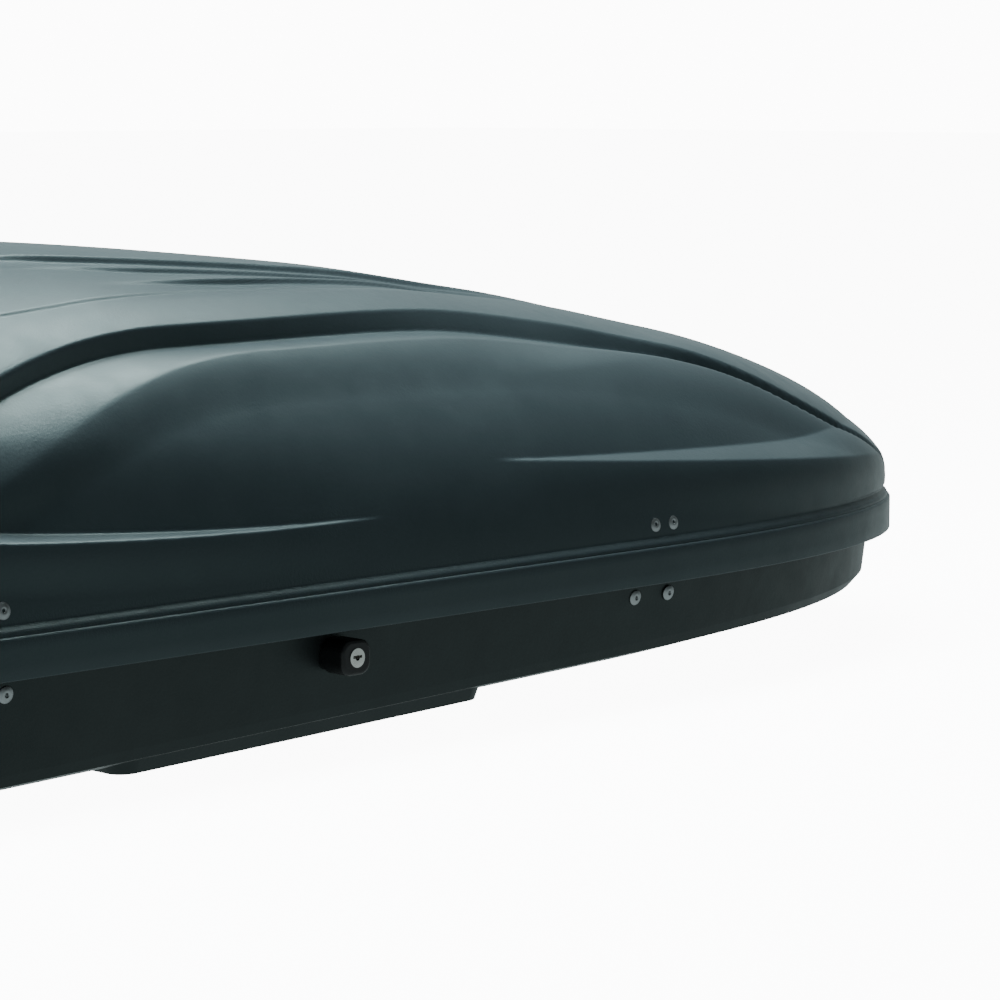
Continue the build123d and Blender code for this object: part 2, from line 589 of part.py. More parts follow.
with BuildPart() as cam_screw:
    with BuildSketch(lock_plane(SHAFT_END_Y + CAM_THICK)):
        Circle(SCREW_R)
    extrude(amount=CAM_THICK)
    with BuildSketch(lock_plane(SHAFT_END_Y + CAM_THICK)):
        Circle(SCREW_R + 2.4)
        RegularPolygon(SCREW_R, 6, mode=Mode.SUBTRACT)
    extrude(amount=-2.2)
save(cam_screw.part, "cam_screw")

# Latch rod with its yoke slot, and the hooks on its ends
with BuildPart() as latch_rod:
    with BuildSketch(Plane(origin=(0, ROD_Y + ROD_THICK / 2, 0), x_dir=(1, 0, 0), z_dir=(0, -1, 0))):
        with Locations(((ROD_ENDS[0] + ROD_ENDS[1]) / 2, (ROD_LOW + ROD_HIGH) / 2)):
            RectangleRounded(ROD_ENDS[1] - ROD_ENDS[0], ROD_HIGH - ROD_LOW, 3)
        with Locations((LOCK_X + arm[0], LOCK_Z + CAM_R)):
            RectangleRounded(30, 24, 4)
        with Locations((LOCK_X + arm[0], LOCK_Z + (CAM_R + arm[1]) / 2)):
            Rectangle(2 * STRIKER_R + 1.2, CAM_R - arm[1] + 2 * STRIKER_R + 1.2, mode=Mode.SUBTRACT)
    extrude(amount=ROD_THICK)
save(latch_rod.part, "latch_rod")

for name, x in CATCH_STATIONS.items():
    with BuildPart() as hook:
        with BuildSketch(Plane(origin=(x, ROD_Y + ROD_THICK * 1.5, 0), x_dir=(1, 0, 0), z_dir=(0, -1, 0))):
            with BuildLine():
                Polyline((-40, ROD_LOW + 2), (-28, ROD_LOW + 2), (-28, STRIKER_Z + 3.8), (-9, STRIKER_Z + 3.8),
                         (-6, STRIKER_Z + 6), (-12, STRIKER_Z + 10), (-40, STRIKER_Z + 10), close=True)
            make_face()
        extrude(amount=ROD_THICK)
    save(hook.part, f"catch_hook_{name}")
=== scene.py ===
"""Roof cargo box: the looks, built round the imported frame. Metres, in the frame's own axes."""
import json
import math

import bmesh
import bpy
import numpy as np
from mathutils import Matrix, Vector
from mathutils.kdtree import KDTree


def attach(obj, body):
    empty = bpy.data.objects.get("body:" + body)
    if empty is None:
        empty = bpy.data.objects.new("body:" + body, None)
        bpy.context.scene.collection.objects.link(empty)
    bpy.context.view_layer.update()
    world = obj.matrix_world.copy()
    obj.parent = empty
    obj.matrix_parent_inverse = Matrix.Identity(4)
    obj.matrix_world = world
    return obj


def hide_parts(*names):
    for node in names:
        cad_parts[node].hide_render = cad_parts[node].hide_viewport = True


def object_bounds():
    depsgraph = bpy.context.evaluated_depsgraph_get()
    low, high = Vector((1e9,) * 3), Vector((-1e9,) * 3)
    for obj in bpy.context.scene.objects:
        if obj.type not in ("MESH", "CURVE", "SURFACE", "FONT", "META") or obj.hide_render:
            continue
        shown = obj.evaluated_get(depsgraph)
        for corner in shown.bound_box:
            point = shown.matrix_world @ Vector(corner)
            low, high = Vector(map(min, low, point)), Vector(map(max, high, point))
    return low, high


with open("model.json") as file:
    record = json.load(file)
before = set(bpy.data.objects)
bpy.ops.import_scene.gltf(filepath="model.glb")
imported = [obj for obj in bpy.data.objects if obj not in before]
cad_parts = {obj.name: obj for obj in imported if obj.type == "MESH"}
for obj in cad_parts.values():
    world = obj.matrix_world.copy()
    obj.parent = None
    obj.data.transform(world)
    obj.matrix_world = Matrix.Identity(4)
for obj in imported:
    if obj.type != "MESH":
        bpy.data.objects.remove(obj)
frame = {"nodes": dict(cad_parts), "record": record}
cad_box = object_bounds()

# Driving dimensions of the shells, as in the frame
RIM_HALF, RIM_NOSE, RIM_TAIL = 0.390, 1.040, 0.960
RIM_TOP = 0.138
FOOT_HALF, FOOT_NOSE, FOOT_TAIL = 0.380, 1.033, 0.953
NOSE_CURVE, TAIL_CURVE, PLAN_POWER = 0.334, -0.540, 2.64
PEAK_X, RISE = -0.183, 0.303
NOSE_BEND, NOSE_POWER, TAIL_BEND, TAIL_POWER = 1.22, 0.405, 4.0, 0.45
SECTION_POWER, SIDE_LEAN = 2.13, 0.098
SKIN = 0.003

# Mesh density: points round the lid, and rings from its rim to its crown
AROUND = 840
RINGS = 330
# Share of each half outline's points that lie along its straight part
STRAIGHT_SHARE = 0.3


# ---------------------------------------------------------------- viewpoint

# Where the camera stands, how far it looks down and round from +Y in degrees, its lens and sensor in
# millimetres, and how far it sees in metres
CAMERA_PLACE = (-2.1418, -2.6724, 0.5817)
CAMERA_DOWN, CAMERA_TURN = 6.76, -45.4
CAMERA_LENS, CAMERA_SENSOR = 123.84, 36
CAMERA_REACH = 60


def add_camera():
    """A long lens, low, looking from the tail's lock side towards the nose."""
    data = bpy.data.cameras.new("view")
    data.sensor_width = CAMERA_SENSOR
    data.lens = CAMERA_LENS
    data.clip_end = CAMERA_REACH
    camera = bpy.data.objects.new("view", data)
    camera.location = CAMERA_PLACE
    camera.rotation_euler = (math.radians(90 - CAMERA_DOWN), 0, math.radians(CAMERA_TURN))
    bpy.context.scene.collection.objects.link(camera)
    bpy.context.scene.camera = camera


# ---------------------------------------------------------------- shape of the lid

def smooth(low, high, value):
    """Smooth step from 0 at low to 1 at high, in either direction."""
    t = np.clip((value - low) / (high - low), 0, 1)
    return t * t * (3 - 2 * t)


def plan_half(x, half, nose, tail):
    """Half-width at x of a plan outline with rounded ends."""
    ahead = (x - NOSE_CURVE) / (nose - NOSE_CURVE)
    behind = (TAIL_CURVE - x) / (tail + TAIL_CURVE)
    reach = np.clip(np.maximum(ahead, behind), 0, 1)
    return half * (1 - reach**PLAN_POWER) ** (1 / PLAN_POWER)


def plan_loop(half, nose, tail):
    """x and y round a plan outline: from the tail along the -Y side to the nose, and back along +Y."""
    turn = np.linspace(-1, 1, AROUND // 2, endpoint=False)
    straight = np.clip(np.abs(turn) / STRAIGHT_SHARE, 0, 1)
    past = np.clip((np.abs(turn) - STRAIGHT_SHARE) / (1 - STRAIGHT_SHARE), 0, 1)
    curved = np.sin(past * math.pi / 2)
    middle, flat = (NOSE_CURVE + TAIL_CURVE) / 2, (NOSE_CURVE - TAIL_CURVE) / 2
    end = np.where(turn > 0, nose - NOSE_CURVE, tail + TAIL_CURVE)
    x = middle + np.sign(turn) * (flat * straight + end * curved)
    y = plan_half(x, half, nose, tail)
    y[0] = 0
    return np.concatenate([x, [nose], x[:0:-1]]), np.concatenate([-y, [0], y[:0:-1]])


def crown(x):
    """Height of the dome over its foot, along the centre line."""
    ahead = np.clip((x - PEAK_X) / (FOOT_NOSE - PEAK_X), 0, 1)
    behind = np.clip((PEAK_X - x) / (FOOT_TAIL + PEAK_X), 0, 1)
    front = RISE * (1 - ahead**NOSE_BEND) ** NOSE_POWER
    back = RISE * (1 - behind**TAIL_BEND) ** TAIL_POWER
    return np.where(x > PEAK_X, front, back)


def dome_half(x, level):
    """Half-width of the dome at x, at a level over its foot."""
    share = np.clip(level / np.maximum(crown(x), 1e-6), 0, 1)
    rounding = (1 - share**SECTION_POWER) ** (1 / SECTION_POWER)
    lean = 1 - SIDE_LEAN * level / FOOT_HALF
    return plan_half(x, FOOT_HALF, FOOT_NOSE, FOOT_TAIL) * rounding * lean


def dome_ring(level):
    """Points round the dome at one level over its foot."""
    share = level / RISE
    ahead = (1 - share ** (1 / NOSE_POWER)) ** (1 / NOSE_BEND)
    behind = (1 - share ** (1 / TAIL_POWER)) ** (1 / TAIL_BEND)
    foot_x, foot_y = plan_loop(FOOT_HALF, FOOT_NOSE, FOOT_TAIL)
    x = PEAK_X + (foot_x - PEAK_X) * np.where(foot_x > PEAK_X, ahead, behind)
    y = np.sign(foot_y) * dome_half(x, level)
    return np.stack([x, y, np.full_like(x, RIM_TOP + level)], -1)


# ---------------------------------------------------------------- features pressed into the lid

# The roof's crease: its height, then where its fall to each end starts, over what run, and how far it drops
CREASE_HIGH = 0.369
NOSE_FALL_FROM, NOSE_FALL_RUN, NOSE_FALL = 0.05, 0.781, 0.151
TAIL_FALL_FROM, TAIL_FALL_RUN, TAIL_FALL = -0.12, 0.213, 0.030


def riser_top(x):
    """Height of the crease at which the roof drops to the shoulder."""
    ahead = np.clip((x - NOSE_FALL_FROM) / NOSE_FALL_RUN, 0, 1.2)
    behind = np.clip((TAIL_FALL_FROM - x) / TAIL_FALL_RUN, 0, 2.6)
    return CREASE_HIGH - NOSE_FALL * ahead**2.7 - TAIL_FALL * behind**2.0


def riser_drop(x):
    """Height of the steep face under that crease."""
    return 0.018 - 0.009 * smooth(0.35, 0.70, x)


def shoulder_drop(x):
    """Height of the ledge under the riser, a wide facet towards the tail."""
    return 0.016 - 0.011 * smooth(0.45, 0.75, x) + 0.044 * smooth(-0.03, -0.42, x)


def ramp(z, low, high, at_low, at_high, reach_low, reach_high):
    """Offset that runs from at_low to at_high between two heights and dies away beyond them."""
    between = np.clip((z - low) / np.maximum(high - low, 1e-4), 0, 1)
    inside = at_low + (at_high - at_low) * between
    under = at_low * smooth(low - reach_low, low, z)
    over = at_high * smooth(high + reach_high, high, z)
    return np.where(z < low, under, np.where(z > high, over, inside))


# The shoulder's offsets: the crease's edge stands out, the riser's foot lies in, and the ledge swells
EDGE_OUT, FOOT_IN, LEDGE_OUT = 0.0068, -0.0078, 0.0050
# How far the swell dies away down the side, and the edge's offset over the roof
SIDE_ROLL, CAP_ROLL = 0.045, 0.060


def shoulder(x, z):
    """The roof's step: crease, dark riser, then a ledge that rolls over into the side."""
    top = riser_top(x) - 0.0045
    foot = top - 0.5 * riser_drop(x)
    roll = foot - shoulder_drop(x)
    along = np.clip((z - roll) / (foot - roll), 0, 1)
    ledge = LEDGE_OUT + (FOOT_IN - LEDGE_OUT) * along**1.25
    riser = FOOT_IN + (EDGE_OUT - FOOT_IN) * np.clip((z - foot) / (top - foot), 0, 1)
    side = LEDGE_OUT * smooth(roll - SIDE_ROLL, roll, z)
    cap = EDGE_OUT * smooth(top + CAP_ROLL, top, z)
    depth = np.where(z > top, cap, np.where(z > foot, riser, np.where(z > roll, ledge, side)))
    return depth * smooth(0.97, 0.70, x) * smooth(-0.86, -0.56, x)


def rear_blade(x, z):
    """A ledge low on the side that widens towards the tail and wraps round it."""
    along = np.clip((0.035 - x) / 0.43, 0, 1.5)
    top = 0.191 + 0.025 * along**1.8
    width = 0.0125 * along
    push = 0.0185 * along**0.8
    return ramp(z, top - width, top, push * 0.4, -push * 0.6, 0.045, 0.080)


def front_blade(x, z):
    """A ledge high on the side that widens towards the nose and wraps round it."""
    along = np.clip((x - 0.205) / 0.6, 0, 1.35)
    top = 0.2305 - 0.0145 * along**0.7
    width = 0.0345 * along
    push = 0.024 * np.clip(along, 0, 1.1) ** 0.8
    out = push * (0.46 - 0.20 * smooth(0.74, 0.95, x))
    sink = push * (0.54 - 0.50 * smooth(0.66, 0.88, x))
    return ramp(z, top - width, top, out, -sink, 0.055, 0.080) * smooth(0.19, 0.24, x)


def panel_edge(x):
    """Half-width of the panel in the middle of the roof."""
    return 0.222 - 0.108 * np.clip((x + 0.30) / 0.68, 0, 2) ** 1.25


# Flutes in the roof panel: spread from its edge at the tail end, and where each one starts
ROOF_FLUTES = ((0.020, -0.16), (0.070, -0.24), (0.116, -0.34))
FLUTE_END, FLUTE_DEPTH = 0.62, 0.0065
PANEL_RISE = 0.0016


def roof(x, y, z):
    """The raised panel of the roof, with stepped flutes that open towards the nose."""
    edge = panel_edge(x)
    depth = PANEL_RISE * smooth(0.0020, -0.0020, np.abs(y) - edge) * smooth(FLUTE_END, 0.45, x)
    for opening, start in ROOF_FLUTES:
        line = edge - opening * np.clip((FLUTE_END - x) / (FLUTE_END - start), 0, 1) ** 0.8
        away = np.abs(y) - line
        fade = smooth(start, start + 0.22, x) * smooth(FLUTE_END, 0.30, x)
        flute = np.where(away > 0, smooth(0.034, 0, away), smooth(-0.0070, 0, away))
        depth = depth - FLUTE_DEPTH * flute * fade
    settled = 0.0045 * smooth(0.22, 0.42, x) * smooth(0.80, 0.60, x)
    return (depth - settled) * smooth(0.300, 0.330, z)


# Middles of the plain pads on the hinge side where the stay brackets are bonded, and how far in they may lie
BRACKET_PADS = (0.566, -0.574)
PAD_SINK = 0.0015


def plain_pads(x, y, z, depth):
    """The relief, kept from pressing in on the stay brackets."""
    raised = np.maximum(depth, -PAD_SINK)
    for middle in BRACKET_PADS:
        across = smooth(0.085, 0.040, np.abs(x - middle))
        share = across * smooth(0.165, 0.195, z) * smooth(0.300, 0.262, z) * (y > 0)
        depth = depth + share * (raised - depth)
    return depth


def relief(points):
    """Outward offset of every pressed feature, at points on the plain dome."""
    x, y, z = points[..., 0], points[..., 1], points[..., 2]
    depth = shoulder(x, z) + rear_blade(x, z) + front_blade(x, z) + roof(x, y, z)
    return plain_pads(x, y, z, depth) * smooth(RIM_TOP, RIM_TOP + 0.004, z)


# ---------------------------------------------------------------- meshes

def ring_normals(rows):
    """Unit outward normals of a stack of closed rings."""
    around = np.roll(rows, -1, axis=1) - np.roll(rows, 1, axis=1)
    up = np.gradient(rows, axis=0)
    normal = np.cross(around, up)
    return normal / np.maximum(np.linalg.norm(normal, axis=2, keepdims=True), 1e-12)


def add_piece(name, points, faces, body, replaces):
    """A smooth-shaded mesh piece that rides on a body and stands for CAD nodes."""
    mesh = bpy.data.meshes.new(name)
    mesh.from_pydata(points, [], faces)
    mesh.validate()
    mesh.polygons.foreach_set("use_smooth", [True] * len(mesh.polygons))
    piece = bpy.data.objects.new(name, mesh)
    bpy.context.scene.collection.objects.link(piece)
    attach(piece, body)
    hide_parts(*replaces)
    return piece


def stack_faces(rings, count):
    """Quads between neighbouring rings of a stack, each ring closed on itself."""
    start = np.arange(rings - 1)[:, None] * count
    here = np.arange(count)[None, :]
    ahead = (here + 1) % count
    quads = np.stack([start + here, start + ahead, start + count + ahead, start + count + here], -1)
    return quads.reshape(-1, 4).tolist()


def zip_ring(first, count, flip):
    """Quads that close a symmetric ring by joining its -Y side to its +Y side."""
    faces = []
    for j in range(1, count // 2 - 1):
        faces.append((first + j, first + j + 1, first + count - j - 1, first + count - j))
    faces.append((first, first + 1, first + count - 1))
    faces.append((first + count // 2 - 1, first + count // 2, first + count // 2 + 1))
    return [face[::-1] for face in faces] if flip else faces


def rim_rings(profile):
    """Rings of the upright rim. profile is (inset from the rim's outline, height) pairs."""
    rings = []
    for inset, z in profile:
        end = inset * (RIM_NOSE - FOOT_NOSE) / (RIM_HALF - FOOT_HALF)
        x, y = plan_loop(RIM_HALF - inset, RIM_NOSE - end, RIM_TAIL - end)
        rings.append(np.stack([x, y, np.full_like(x, z)], -1))
    return np.stack(rings)


OUTER_RIM = (
    (0.0014, 0.0920), (0.0004, 0.0924), (0.0, 0.0934), (0.0, 0.1050), (0.0, 0.1180), (0.0, 0.1266),
    (0.0003, 0.1274), (0.0010, 0.1283), (0.0018, 0.1290), (0.0024, 0.1292), (0.0030, 0.1290),
    (0.0036, 0.1292), (0.0037, 0.1304), (0.0038, 0.1316), (0.0041, 0.1324), (0.0050, 0.1336),
    (0.0064, 0.1349), (0.0080, 0.1361), (0.0092, 0.1372),
)
INNER_RIM = ((0.0020, 0.0920), (0.0027, 0.0923), (0.0030, 0.0930), (0.0030, 0.1280), (0.0045, 0.1315),
             (0.0085, 0.1335), (0.0115, 0.1350))


def pressed_dome():
    """The plain dome's rings, their normals, and the relief at each point."""
    turns = np.linspace(0, math.pi / 2, RINGS, endpoint=False)
    plain = np.stack([dome_ring(RISE * math.sin(turn)) for turn in turns])
    return plain, ring_normals(plain), relief(plain)[..., None]


# Longest edge left by each pass that cuts a stiffener's mesh finer
FINE_EDGES = (0.04, 0.02, 0.01)


def conform(node):
    """A copy of a CAD node bonded under the lid, moved in and out with the lid's relief."""
    plain, normal, depth = pressed_dome()
    shift = (normal * depth).reshape(-1, 3)
    tree = KDTree(len(shift))
    for index, point in enumerate(plain.reshape(-1, 3)):
        tree.insert(point, index)
    tree.balance()
    form = bmesh.new()
    form.from_mesh(frame["nodes"][node].data)
    bmesh.ops.remove_doubles(form, verts=form.verts, dist=1e-5)
    for length in FINE_EDGES:
        long = [edge for edge in form.edges if edge.calc_length() > length]
        bmesh.ops.subdivide_edges(form, edges=long, cuts=1, use_grid_fill=True)
    for vertex in form.verts:
        vertex.co += Vector(shift[tree.find(vertex.co)[1]])
    mesh = bpy.data.meshes.new(node + "_pressed")
    form.to_mesh(mesh)
    form.free()
    piece = bpy.data.objects.new(node + "_pressed", mesh)
    bpy.context.scene.collection.objects.link(piece)
    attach(piece, "lid")
    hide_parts(node)
    return piece


def make_lid():
    """The pressed lid: an outer and an inner skin joined round the rim's lower edge."""
    plain, normal, depth = pressed_dome()
    outer = np.concatenate([rim_rings(OUTER_RIM), plain + normal * depth])
    inner_dome = plain + normal * (depth - SKIN)
    inner = np.concatenate([rim_rings(INNER_RIM), inner_dome])[::-1]
    rings = np.concatenate([inner, outer])
    count = len(rings)
    faces = stack_faces(count, AROUND)
    faces += zip_ring(0, AROUND, flip=True)
    faces += zip_ring((count - 1) * AROUND, AROUND, flip=False)
    return add_piece("lid_skin", rings.reshape(-1, 3), faces, "lid", ["lid_shell"])


# Section of a blind rivet's head: (radius, height over the wall), from its hollow middle to its edge
RIVET_SECTION = ((0.0, -0.0012), (0.0016, -0.0012), (0.0017, 0.0014), (0.0020, 0.0021), (0.0030, 0.0024),
                 (0.0046, 0.0021), (0.0062, 0.0014), (0.0074, 0.0009), (0.0079, 0.0006), (0.0080, 0.0002),
                 (0.0079, 0.0), (0.0024, 0.0))
# Height of a CAD rivet's head over the wall, radius of its shank, and points round it
RIVET_HIGH, RIVET_SHANK, RIVET_AROUND = 0.0026, 0.0024, 48
# The way the rivets' heads face: out of the lock side
RIVET_OUT = Vector((0, -1, 0))


def islands(form):
    """Groups of joined vertices in a mesh."""
    left, groups = set(form.verts), []
    while left:
        group, queue = [], [left.pop()]
        while queue:
            vertex = queue.pop()
            group.append(vertex)
            for edge in vertex.link_edges:
                other = edge.other_vert(vertex)
                if other in left:
                    left.remove(other)
                    queue.append(other)
        groups.append(group)
    return groups


def rivet_frames(node):
    """Head centre on the wall, outward direction and overall length of each rivet in a CAD node."""
    form = bmesh.new()
    form.from_mesh(frame["nodes"][node].data)
    bmesh.ops.remove_doubles(form, verts=form.verts, dist=1e-6)
    found = []
    for group in islands(form):
        faces = {face for vertex in group for face in vertex.link_faces}
        flat = [face.normal * face.calc_area() for face in faces if face.normal.dot(RIVET_OUT) > 0.9]
        outward = sum(flat, Vector()).normalized()
        heights = [vertex.co.dot(outward) for vertex in group]
        top = [vertex.co for vertex in group if vertex.co.dot(outward) > max(heights) - 1e-5]
        centre = sum(top, Vector()) / len(top) - outward * RIVET_HIGH
        found.append((centre, outward, max(heights) - min(heights)))
    form.free()
    return found


def make_rivets(node, body):
    """Blind rivets with hollow heads, in place of a CAD node's plain ones."""
    points, faces = [], []
    for centre, outward, length in rivet_frames(node):
        across = outward.orthogonal().normalized()
        up = outward.cross(across)
        tip = RIVET_HIGH - length
        section = [*RIVET_SECTION, (RIVET_SHANK, tip), (0.0, tip)]
        start = len(points)
        for radius, height in section:
            for step in range(RIVET_AROUND):
                turn = 2 * math.pi * step / RIVET_AROUND
                points.append(centre + outward * height
                              + radius * (across * math.cos(turn) + up * math.sin(turn)))
        faces += [[start + j for j in quad] for quad in stack_faces(len(section), RIVET_AROUND)]
    return add_piece(node + "_detailed", points, faces, body, [node])


# ---------------------------------------------------------------- materials

def new_material(name, colour, roughness, metallic=0.0):
    """A material with its shader, and the node tree to build on."""
    material = bpy.data.materials.new(name)
    material.use_nodes = True
    tree = material.node_tree
    shader = tree.nodes["Principled BSDF"]
    shader.inputs["Base Color"].default_value = (*colour, 1)
    shader.inputs["Roughness"].default_value = roughness
    shader.inputs["Metallic"].default_value = metallic
    return material, tree, shader


def noise(tree, scale, detail=2.0, rough=0.5, axis_scales=(1, 1, 1)):
    """A noise pattern in the object's own coordinates, in metres; an axis scale under 1 draws it out."""
    place = tree.nodes.new("ShaderNodeTexCoord")
    mapping = tree.nodes.new("ShaderNodeMapping")
    mapping.inputs["Scale"].default_value = axis_scales
    pattern = tree.nodes.new("ShaderNodeTexNoise")
    pattern.inputs["Scale"].default_value = scale
    pattern.inputs["Detail"].default_value = detail
    pattern.inputs["Roughness"].default_value = rough
    tree.links.new(place.outputs["Object"], mapping.inputs["Vector"])
    tree.links.new(mapping.outputs["Vector"], pattern.inputs["Vector"])
    return pattern.outputs["Fac"]


def spread(tree, value, low, high, at_low, at_high):
    """value, mapped from one range to another."""
    node = tree.nodes.new("ShaderNodeMapRange")
    node.inputs["From Min"].default_value = low
    node.inputs["From Max"].default_value = high
    node.inputs["To Min"].default_value = at_low
    node.inputs["To Max"].default_value = at_high
    tree.links.new(value, node.inputs["Value"])
    return node.outputs["Result"]


def blend_colours(tree, share, dark, light):
    """A colour between two, by a 0 to 1 value."""
    node = tree.nodes.new("ShaderNodeMix")
    node.data_type = "RGBA"
    node.inputs["A"].default_value = (*dark, 1)
    node.inputs["B"].default_value = (*light, 1)
    tree.links.new(share, node.inputs["Factor"])
    return node.outputs["Result"]


def bump(tree, height, distance, strength, shader, under=None):
    """Surface relief from a height value, in metres."""
    node = tree.nodes.new("ShaderNodeBump")
    node.inputs["Distance"].default_value = distance
    node.inputs["Strength"].default_value = strength
    tree.links.new(height, node.inputs["Height"])
    if under is not None:
        tree.links.new(under, node.inputs["Normal"])
    tree.links.new(node.outputs["Normal"], shader.inputs["Normal"])
    return node.outputs["Normal"]


# Height of the sheet's grain in metres, and how fine its pattern is
GRAIN_HIGH, GRAIN_FINE = 0.00020, 300


def grained_plastic(name, dark, light, roughness):
    """Formed sheet with a fine pebble grain, faint mottling and uneven gloss."""
    material, tree, shader = new_material(name, dark, roughness)
    mottle = spread(tree, noise(tree, 9, 3), 0.3, 0.7, 0, 1)
    tree.links.new(blend_colours(tree, mottle, dark, light), shader.inputs["Base Color"])
    sheen = spread(tree, noise(tree, 26, 4, 0.6), 0.3, 0.7, roughness - 0.04, roughness + 0.05)
    tree.links.new(sheen, shader.inputs["Roughness"])
    coarse = bump(tree, noise(tree, GRAIN_FINE, 3, 0.6), GRAIN_HIGH, 0.9, shader)
    bump(tree, noise(tree, 7, 2), 0.0008, 0.25, shader, coarse)
    shader.inputs["Specular Tint"].default_value = (0.78, 1.0, 0.97, 1)
    return material


def moulded_plastic(name, colour, roughness):
    """Injection-moulded black plastic with a spark-eroded texture."""
    material, tree, shader = new_material(name, colour, roughness)
    speck = spread(tree, noise(tree, 1400, 2), 0.35, 0.65, 0, 1)
    light = tuple(c * 1.5 + 0.004 for c in colour)
    tree.links.new(blend_colours(tree, speck, colour, light), shader.inputs["Base Color"])
    tree.links.new(spread(tree, speck, 0, 1, roughness - 0.05, roughness + 0.08), shader.inputs["Roughness"])
    bump(tree, speck, 0.00006, 0.6, shader)
    return material


def worn_metal(name, colour, roughness, axis_scales):
    """Metal with fine marks, drawn out along an axis whose scale is under 1, and slight tarnish."""
    material, tree, shader = new_material(name, colour, roughness, 1.0)
    marks = spread(tree, noise(tree, 700, 3, 0.6, axis_scales), 0.3, 0.7, 0, 1)
    tarnish = spread(tree, noise(tree, 60, 3), 0.35, 0.75, 0, 1)
    dull = tuple(c * 0.72 for c in colour)
    tree.links.new(blend_colours(tree, tarnish, colour, dull), shader.inputs["Base Color"])
    tree.links.new(spread(tree, marks, 0, 1, roughness - 0.07, roughness + 0.10), shader.inputs["Roughness"])
    bump(tree, marks, 0.00003, 0.5, shader)
    return material


# The two tones each sheet is mottled between
LID_DARK, LID_LIGHT = (0.038, 0.052, 0.061), (0.043, 0.058, 0.067)
BASE_DARK, BASE_LIGHT = (0.0190, 0.0210, 0.0225), (0.0230, 0.0250, 0.0265)


def make_materials():
    """One finish for each of the record's material slots."""
    return {
        "lid_plastic": grained_plastic("lid_plastic", LID_DARK, LID_LIGHT, 0.40),
        "base_plastic": grained_plastic("base_plastic", BASE_DARK, BASE_LIGHT, 0.46),
        "black_plastic": moulded_plastic("black_plastic", (0.006, 0.006, 0.007), 0.42),
        "stiffener_plastic": moulded_plastic("stiffener_plastic", (0.020, 0.022, 0.024), 0.5),
        "zinc_steel": worn_metal("zinc_steel", (0.62, 0.63, 0.60), 0.36, (1, 1, 1)),
        "bright_steel": worn_metal("bright_steel", (0.72, 0.72, 0.73), 0.22, (0.1, 1, 1)),
        "black_steel": moulded_plastic("black_steel", (0.012, 0.012, 0.013), 0.38),
        "rivet_metal": worn_metal("rivet_metal", (0.50, 0.52, 0.53), 0.40, (1, 1, 1)),
        "key_metal": worn_metal("key_metal", (0.78, 0.77, 0.74), 0.20, (1, 1, 1)),
    }


def paint(piece, material):
    """Gives a piece one material in every slot."""
    if not piece.data.materials:
        piece.data.materials.append(material)
    for slot in piece.material_slots:
        slot.material = material


# ---------------------------------------------------------------- stage and light

# Brightness of the backdrop, and of what the box reflects: above, at the sides, low down and behind
BACKDROP_WHITE, BACKDROP_FLOOR = 12.0, 10.8
SURROUND_HIGH, SURROUND_SIDE, SURROUND_LOW, SURROUND_FAR = 0.23, 0.066, 0.40, 0.50
LIGHT_TINT = (0.85, 1.0, 1.0)
# Where those parts fade in, by the height of a direction, and by how far it points the far way
HIGH_RANGE, LOW_RANGE, FAR_RANGE = (0.48, 0.95), (0.16, -0.12), (0.55, 0.90)
FAR_WAY = (0.71, 0.70, 0)
# Softboxes: name, place, the point it faces, width and height, and power in watts
SOFTBOXES = (
    ("overhead", (0.2, 0.5, 2.8), (0.1, 0.0, 0.2), (3.6, 1.2), 205),
    ("tail_side", (-3.0, 0.2, 1.6), (-0.4, 0.0, 0.3), (1.6, 1.2), 60),
)
# Half-width of the floor, its gap under the box, and the two greys it is mottled between
FLOOR_SPAN, FLOOR_GAP = 40, 0.0005
FLOOR_DULL, FLOOR_PALE = (0.90, 0.90, 0.90), (0.93, 0.93, 0.93)


def add_floor():
    """A wide pale floor just under the box."""
    low = cad_box[0][2] - FLOOR_GAP
    corners = [(x * FLOOR_SPAN, y * FLOOR_SPAN, low) for x, y in ((-1, -1), (1, -1), (1, 1), (-1, 1))]
    mesh = bpy.data.meshes.new("floor")
    mesh.from_pydata(corners, [], [(0, 1, 2, 3)])
    floor = bpy.data.objects.new("floor", mesh)
    bpy.context.scene.collection.objects.link(floor)
    material, tree, shader = new_material("floor", FLOOR_DULL, 0.7)
    tone = spread(tree, noise(tree, 2, 2), 0.3, 0.7, 0, 1)
    tree.links.new(blend_colours(tree, tone, FLOOR_DULL, FLOOR_PALE), shader.inputs["Base Color"])
    shader.inputs["Emission Color"].default_value = (1, 1, 1, 1)
    shader.inputs["Emission Strength"].default_value = BACKDROP_FLOOR
    floor.visible_diffuse = False
    floor.visible_glossy = False
    mesh.materials.append(material)


def add_softbox(name, place, aim, size, power):
    """A rectangular area light at place, turned towards aim."""
    data = bpy.data.lights.new(name, "AREA")
    data.shape = "RECTANGLE"
    data.size, data.size_y = size
    data.energy = power
    data.color = LIGHT_TINT
    lamp = bpy.data.objects.new(name, data)
    lamp.location = place
    away = np.array(place) - np.array(aim)
    turn = math.atan2(away[1], away[0]) + math.pi / 2
    tilt = math.acos(away[2] / np.linalg.norm(away))
    lamp.rotation_euler = (tilt, 0, turn)
    bpy.context.scene.collection.objects.link(lamp)


def add_values(tree, values):
    """The sum of several values."""
    total = values[0]
    for value in values[1:]:
        node = tree.nodes.new("ShaderNodeMath")
        node.operation = "ADD"
        tree.links.new(total, node.inputs[0])
        tree.links.new(value, node.inputs[1])
        total = node.outputs["Value"]
    return total


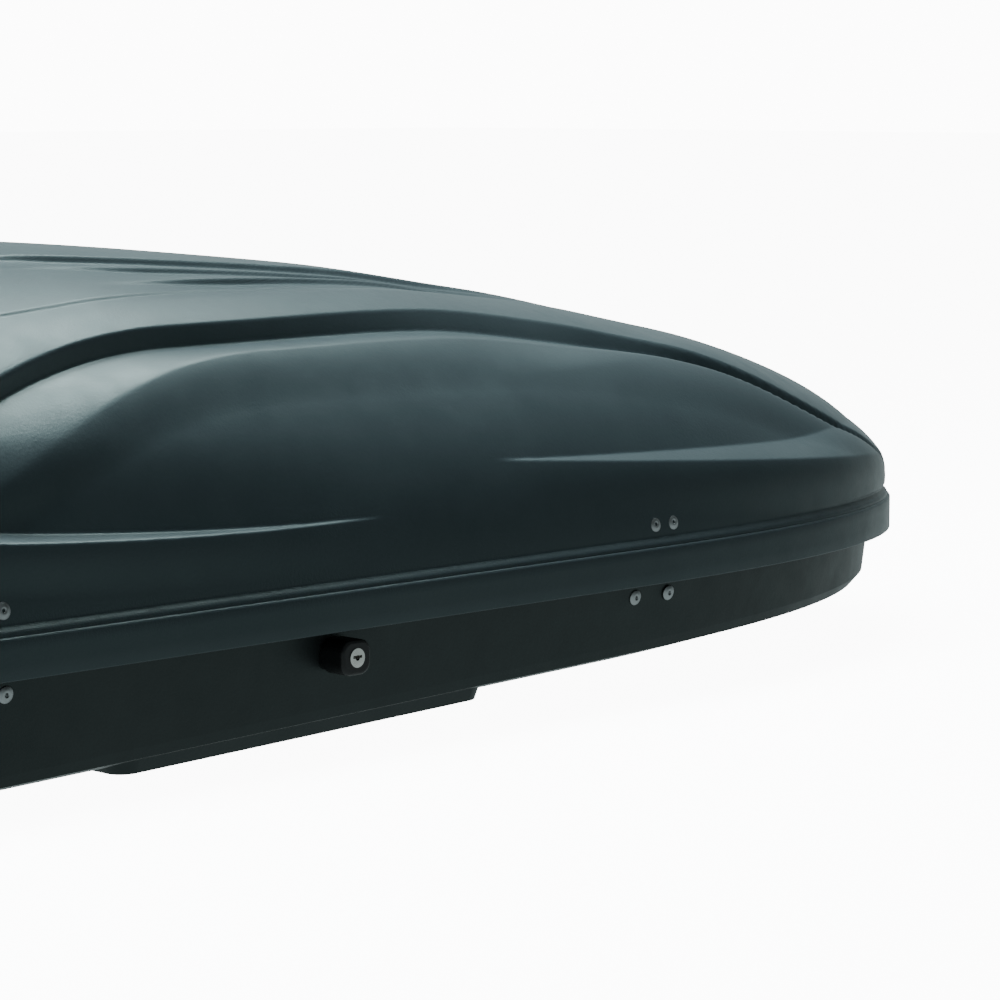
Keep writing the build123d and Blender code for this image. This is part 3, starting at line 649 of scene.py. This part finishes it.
def add_light():
    """A white studio that the box reflects as much dimmer, a broad overhead softbox and one from the tail."""
    world = bpy.data.worlds.new("studio")
    bpy.context.scene.world = world
    world.use_nodes = True
    tree = world.node_tree
    shade = tree.nodes["Background"]
    shade.inputs["Color"].default_value = (*LIGHT_TINT, 1)
    backdrop = tree.nodes.new("ShaderNodeBackground")
    backdrop.inputs["Color"].default_value = (1, 1, 1, 1)
    backdrop.inputs["Strength"].default_value = BACKDROP_WHITE
    place = tree.nodes.new("ShaderNodeTexCoord")
    split = tree.nodes.new("ShaderNodeSeparateXYZ")
    tree.links.new(place.outputs["Generated"], split.inputs["Vector"])
    facing = tree.nodes.new("ShaderNodeVectorMath")
    facing.operation = "DOT_PRODUCT"
    facing.inputs[1].default_value = FAR_WAY
    tree.links.new(place.outputs["Generated"], facing.inputs[0])
    above = spread(tree, split.outputs["Z"], *HIGH_RANGE, SURROUND_SIDE, SURROUND_HIGH)
    below = spread(tree, split.outputs["Z"], *LOW_RANGE, 0, SURROUND_LOW)
    behind = spread(tree, facing.outputs["Value"], *FAR_RANGE, 0, SURROUND_FAR)
    tree.links.new(add_values(tree, [above, below, behind]), shade.inputs["Strength"])
    seen = tree.nodes.new("ShaderNodeLightPath")
    choose = tree.nodes.new("ShaderNodeMixShader")
    tree.links.new(seen.outputs["Is Camera Ray"], choose.inputs["Fac"])
    tree.links.new(shade.outputs["Background"], choose.inputs[1])
    tree.links.new(backdrop.outputs["Background"], choose.inputs[2])
    tree.links.new(choose.outputs["Shader"], tree.nodes["World Output"].inputs["Surface"])
    for softbox in SOFTBOXES:
        add_softbox(*softbox)


# ---------------------------------------------------------------- the scene

add_camera()
lid = make_lid()
materials = make_materials()
slots = {part["node"]: part["material_slot"] for part in frame["record"]["subparts"]}
for node, piece in frame["nodes"].items():
    paint(piece, materials[slots[node]])
paint(lid, materials["lid_plastic"])
for node in ("lid_stiffener_front", "lid_stiffener_rear"):
    paint(conform(node), materials["stiffener_plastic"])
for node, body in (("lid_rivets", "lid"), ("base_rivets", "base")):
    paint(make_rivets(node, body), materials["rivet_metal"])
add_floor()
add_light()
